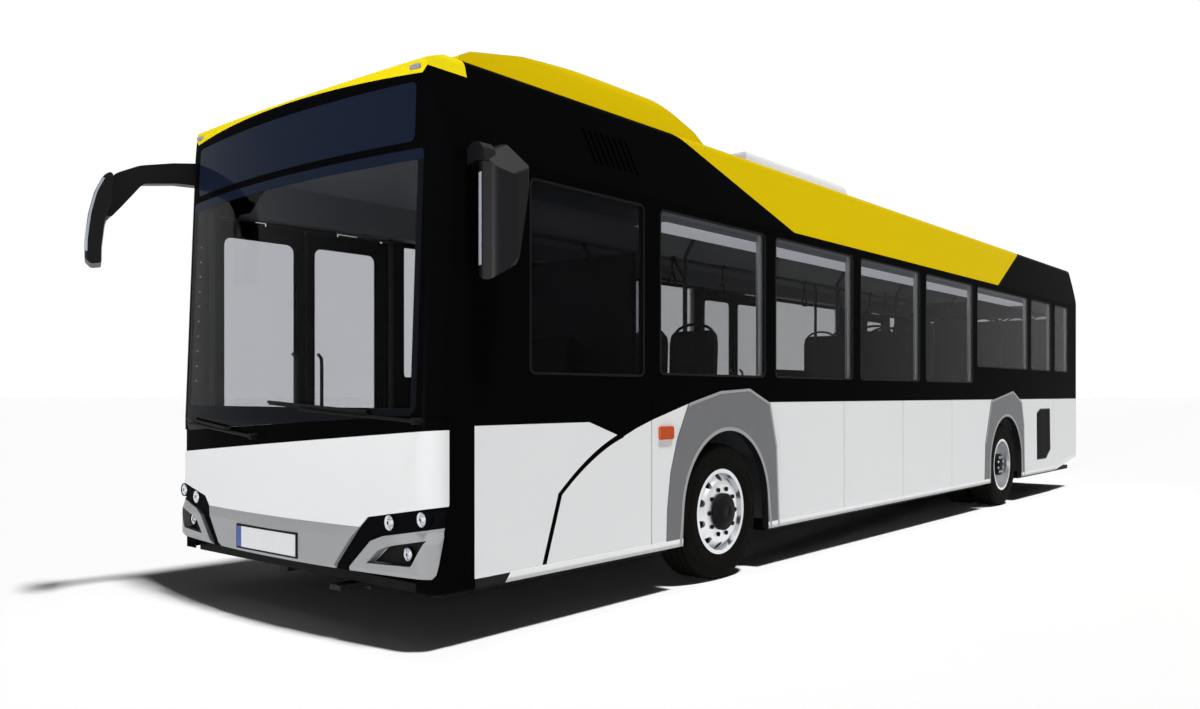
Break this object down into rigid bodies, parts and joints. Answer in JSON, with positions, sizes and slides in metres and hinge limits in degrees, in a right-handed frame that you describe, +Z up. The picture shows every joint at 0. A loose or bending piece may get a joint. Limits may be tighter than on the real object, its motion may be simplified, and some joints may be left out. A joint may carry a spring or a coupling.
{
  "type": "city bus",
  "caption": "Low-floor city bus with three double doors, steered front wheels, twin rear wheels, roof hump and hollow glazed saloon.",
  "frame": {"origin": "middle of the overall length and width, on the ground", "axes": "+X to the bus's left, the front looks towards -Y, +Z up"},
  "size_m": [3, 12.503, 3.3379],
  "materials": {
    "body_white": "gloss",
    "body_black": "gloss",
    "roof_yellow": "gloss",
    "unit_white": "gloss",
    "bumper_grey": "satin",
    "glass": "clear",
    "door_glass": "clear",
    "door_frame": "satin",
    "door_steel": "satin",
    "lamp_clear": "clear",
    "lamp_red": "gloss",
    "trim_black": "satin",
    "mirror_black": "satin",
    "wiper_black": "matte",
    "floor_grey": "matte",
    "chassis_black": "matte",
    "engine_iron": "matte",
    "seat_fabric": "matte",
    "pole_steel": "satin",
    "ceiling_light": "matte",
    "cab_dark": "matte",
    "rim_steel": "satin",
    "tyre": "matte"
  },
  "bodies": {
    "root": {"front_frame": "body_black", "front_panel": "body_white", "front_bumper": "bumper_grey", "windscreen": "glass", "rear_body": "body_black", "skirt_left": "body_white", "window_wall_left": "body_black", "skirt_right": "body_white", "window_wall_right": "body_black", "window_glass": "glass", "arch_trims": "bumper_grey", "side_grille": "trim_black", "rear_lamps": "lamp_red", "lamp_housings": "trim_black", "roof": "roof_yellow", "roof_fairing": "roof_yellow", "roof_unit": "unit_white", "lamps": "lamp_clear", "mirrors": "mirror_black", "wipers": "wiper_black", "floor": "floor_grey", "chassis_frame": "chassis_black", "engine_block": "engine_iron", "front_axle": "chassis_black", "rear_axle": "chassis_black", "seats": "seat_fabric", "grab_rails": "pole_steel", "ceiling": "ceiling_light", "driver_cab": "cab_dark", "driver_seat": "seat_fabric"},
    "knuckle_left": {"knuckle_left": "chassis_black"},
    "knuckle_right": {"knuckle_right": "chassis_black"},
    "wheel_front_left": {"rim_front_left": "rim_steel", "tyre_front_left": "tyre"},
    "wheel_rear_left": {"rim_rear_left": "rim_steel", "tyres_rear_left": "tyre"},
    "wheel_front_right": {"rim_front_right": "rim_steel", "tyre_front_right": "tyre"},
    "wheel_rear_right": {"rim_rear_right": "rim_steel", "tyres_rear_right": "tyre"},
    "engine_hatch": {"engine_hatch": "body_black"},
    "door_1_front_post": {"door_1_front_post": "door_steel"},
    "door_1_front_leaf": {"door_1_front_leaf": "door_frame", "door_1_front_glass": "door_glass"},
    "door_1_rear_post": {"door_1_rear_post": "door_steel"},
    "door_1_rear_leaf": {"door_1_rear_leaf": "door_frame", "door_1_rear_glass": "door_glass"},
    "door_2_front_post": {"door_2_front_post": "door_steel"},
    "door_2_front_leaf": {"door_2_front_leaf": "door_frame", "door_2_front_glass": "door_glass"},
    "door_2_rear_post": {"door_2_rear_post": "door_steel"},
    "door_2_rear_leaf": {"door_2_rear_leaf": "door_frame", "door_2_rear_glass": "door_glass"},
    "door_3_front_post": {"door_3_front_post": "door_steel"},
    "door_3_front_leaf": {"door_3_front_leaf": "door_frame", "door_3_front_glass": "door_glass"},
    "door_3_rear_post": {"door_3_rear_post": "door_steel"},
    "door_3_rear_leaf": {"door_3_rear_leaf": "door_frame", "door_3_rear_glass": "door_glass"}
  },
  "joints": [
    {"name": "steer_left", "type": "hinge", "parent": "root", "child": "knuckle_left", "pos_m": [1, -2.98, 0.4785], "axis": [0, 0, 1], "range_deg": [-40, 40]},
    {"name": "spin_front_left", "type": "hinge", "parent": "knuckle_left", "child": "wheel_front_left", "pos_m": [1.1075, -2.98, 0.4785], "axis": [1, 0, 0], "continuous": true},
    {"name": "spin_rear_left", "type": "hinge", "parent": "root", "child": "wheel_rear_left", "pos_m": [0.95, 3.06, 0.4785], "axis": [1, 0, 0], "continuous": true},
    {"name": "steer_right", "type": "hinge", "parent": "root", "child": "knuckle_right", "pos_m": [-1, -2.98, 0.4785], "axis": [0, 0, 1], "range_deg": [-40, 40]},
    {"name": "spin_front_right", "type": "hinge", "parent": "knuckle_right", "child": "wheel_front_right", "pos_m": [-1.1075, -2.98, 0.4785], "axis": [1, 0, 0], "continuous": true},
    {"name": "spin_rear_right", "type": "hinge", "parent": "root", "child": "wheel_rear_right", "pos_m": [-0.95, 3.06, 0.4785], "axis": [1, 0, 0], "continuous": true},
    {"name": "hatch_hinge", "type": "hinge", "parent": "root", "child": "engine_hatch", "pos_m": [0, 6.242, 1.479], "axis": [1, 0, 0], "range_deg": [0, 80]},
    {"name": "door_1_front_post", "type": "hinge", "parent": "root", "child": "door_1_front_post", "pos_m": [-1.185, -5.472, 1.4], "axis": [0, 0, -1], "range_deg": [0, 79]},
    {"name": "door_1_front_leaf", "type": "hinge", "parent": "door_1_front_post", "child": "door_1_front_leaf", "pos_m": [-1.185, -5.172, 1.4], "axis": [0, 0, -1], "range_deg": [-158, 0]},
    {"name": "door_1_rear_post", "type": "hinge", "parent": "root", "child": "door_1_rear_post", "pos_m": [-1.185, -3.988, 1.4], "axis": [0, 0, -1], "range_deg": [-79, 0]},
    {"name": "door_1_rear_leaf", "type": "hinge", "parent": "door_1_rear_post", "child": "door_1_rear_leaf", "pos_m": [-1.185, -4.288, 1.4], "axis": [0, 0, -1], "range_deg": [0, 158]},
    {"name": "door_2_front_post", "type": "hinge", "parent": "root", "child": "door_2_front_post", "pos_m": [-1.185, 0.368, 1.4], "axis": [0, 0, -1], "range_deg": [0, 79]},
    {"name": "door_2_front_leaf", "type": "hinge", "parent": "door_2_front_post", "child": "door_2_front_leaf", "pos_m": [-1.185, 0.668, 1.4], "axis": [0, 0, -1], "range_deg": [-158, 0]},
    {"name": "door_2_rear_post", "type": "hinge", "parent": "root", "child": "door_2_rear_post", "pos_m": [-1.185, 1.832, 1.4], "axis": [0, 0, -1], "range_deg": [-79, 0]},
    {"name": "door_2_rear_leaf", "type": "hinge", "parent": "door_2_rear_post", "child": "door_2_rear_leaf", "pos_m": [-1.185, 1.532, 1.4], "axis": [0, 0, -1], "range_deg": [0, 158]},
    {"name": "door_3_front_post", "type": "hinge", "parent": "root", "child": "door_3_front_post", "pos_m": [-1.185, 3.928, 1.4], "axis": [0, 0, -1], "range_deg": [0, 79]},
    {"name": "door_3_front_leaf", "type": "hinge", "parent": "door_3_front_post", "child": "door_3_front_leaf", "pos_m": [-1.185, 4.228, 1.4], "axis": [0, 0, -1], "range_deg": [-158, 0]},
    {"name": "door_3_rear_post", "type": "hinge", "parent": "root", "child": "door_3_rear_post", "pos_m": [-1.185, 5.392, 1.4], "axis": [0, 0, -1], "range_deg": [-79, 0]},
    {"name": "door_3_rear_leaf", "type": "hinge", "parent": "door_3_rear_post", "child": "door_3_rear_leaf", "pos_m": [-1.185, 5.092, 1.4], "axis": [0, 0, -1], "range_deg": [0, 158]}
  ],
  "couplings": [
    {"joint": "steer_right", "follows": "steer_left", "ratio": 1},
    {"joint": "door_1_front_leaf", "follows": "door_1_front_post", "ratio": -2},
    {"joint": "door_1_rear_post", "follows": "door_1_front_post", "ratio": -1},
    {"joint": "door_1_rear_leaf", "follows": "door_1_front_post", "ratio": 2},
    {"joint": "door_2_front_leaf", "follows": "door_2_front_post", "ratio": -2},
    {"joint": "door_2_rear_post", "follows": "door_2_front_post", "ratio": -1},
    {"joint": "door_2_rear_leaf", "follows": "door_2_front_post", "ratio": 2},
    {"joint": "door_3_front_leaf", "follows": "door_3_front_post", "ratio": -2},
    {"joint": "door_3_rear_post", "follows": "door_3_front_post", "ratio": -1},
    {"joint": "door_3_rear_leaf", "follows": "door_3_front_post", "ratio": 2}
  ]
}
